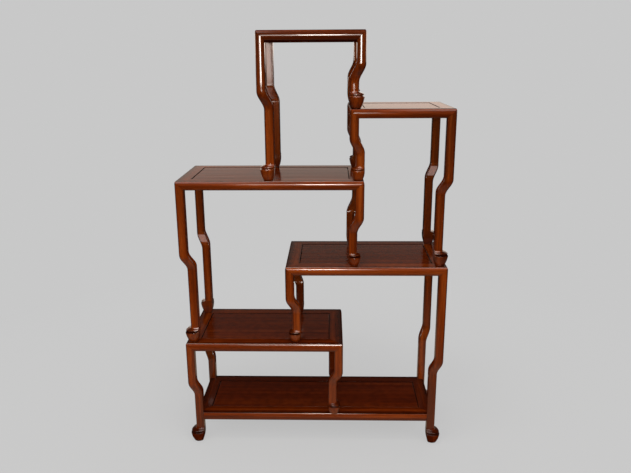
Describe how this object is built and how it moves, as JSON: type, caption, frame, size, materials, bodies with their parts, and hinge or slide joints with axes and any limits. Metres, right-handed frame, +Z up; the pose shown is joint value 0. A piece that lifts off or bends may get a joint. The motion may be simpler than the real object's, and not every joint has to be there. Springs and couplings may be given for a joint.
{
  "type": "curio display shelf",
  "caption": "Open stepped display shelf of lacquered rosewood: staggered frame-and-panel tiers on S-bent legs with hoof feet that stand on the tier below or on the floor.",
  "frame": {"origin": "floor point under the middle of the shelf's outline, seen from above", "axes": "+X to the right as seen from the front, along the shelves; +Y from the front to the back; +Z up"},
  "size_m": [0.88, 0.3218, 1.39],
  "materials": {
    "leg": "reddish-brown rosewood under gloss lacquer",
    "rail": "reddish-brown rosewood under gloss lacquer",
    "panel": "darker brown straight-grained rosewood under gloss lacquer",
    "batten": "plain oiled hardwood, unseen from the front"
  },
  "bodies": {
    "root": {"top_panel": "panel", "top_front_rail": "rail", "top_back_rail": "rail", "top_left_end": "rail", "top_right_end": "rail", "top_batten": "batten", "top_leg_front_left": "leg", "top_leg_front_right": "leg", "top_leg_back_left": "leg", "top_leg_back_right": "leg", "right_high_panel": "panel", "right_high_front_rail": "rail", "right_high_back_rail": "rail", "right_high_left_end": "rail", "right_high_right_end": "rail", "right_high_batten": "batten", "right_high_leg_front_left": "leg", "right_high_leg_front_right": "leg", "right_high_leg_back_left": "leg", "right_high_leg_back_right": "leg", "left_high_panel": "panel", "left_high_front_rail": "rail", "left_high_back_rail": "rail", "left_high_left_end": "rail", "left_high_right_end": "rail", "left_high_batten_left": "batten", "left_high_batten_right": "batten", "left_high_leg_front_left": "leg", "left_high_leg_front_right": "leg", "left_high_leg_back_left": "leg", "left_high_leg_back_right": "leg", "right_low_panel": "panel", "right_low_front_rail": "rail", "right_low_back_rail": "rail", "right_low_left_end": "rail", "right_low_right_end": "rail", "right_low_batten": "batten", "right_low_leg_front_left": "leg", "right_low_leg_front_right": "leg", "right_low_leg_back_left": "leg", "right_low_leg_back_right": "leg", "left_low_panel": "panel", "left_low_front_rail": "rail", "left_low_back_rail": "rail", "left_low_left_end": "rail", "left_low_right_end": "rail", "left_low_batten": "batten", "left_low_leg_front_left": "leg", "left_low_leg_front_right": "leg", "left_low_leg_back_left": "leg", "left_low_leg_back_right": "leg", "base_panel": "panel", "base_front_rail": "rail", "base_back_rail": "rail", "base_left_end": "rail", "base_right_end": "rail", "base_batten_left": "batten", "base_batten_right": "batten"}
  },
  "joints": []
}
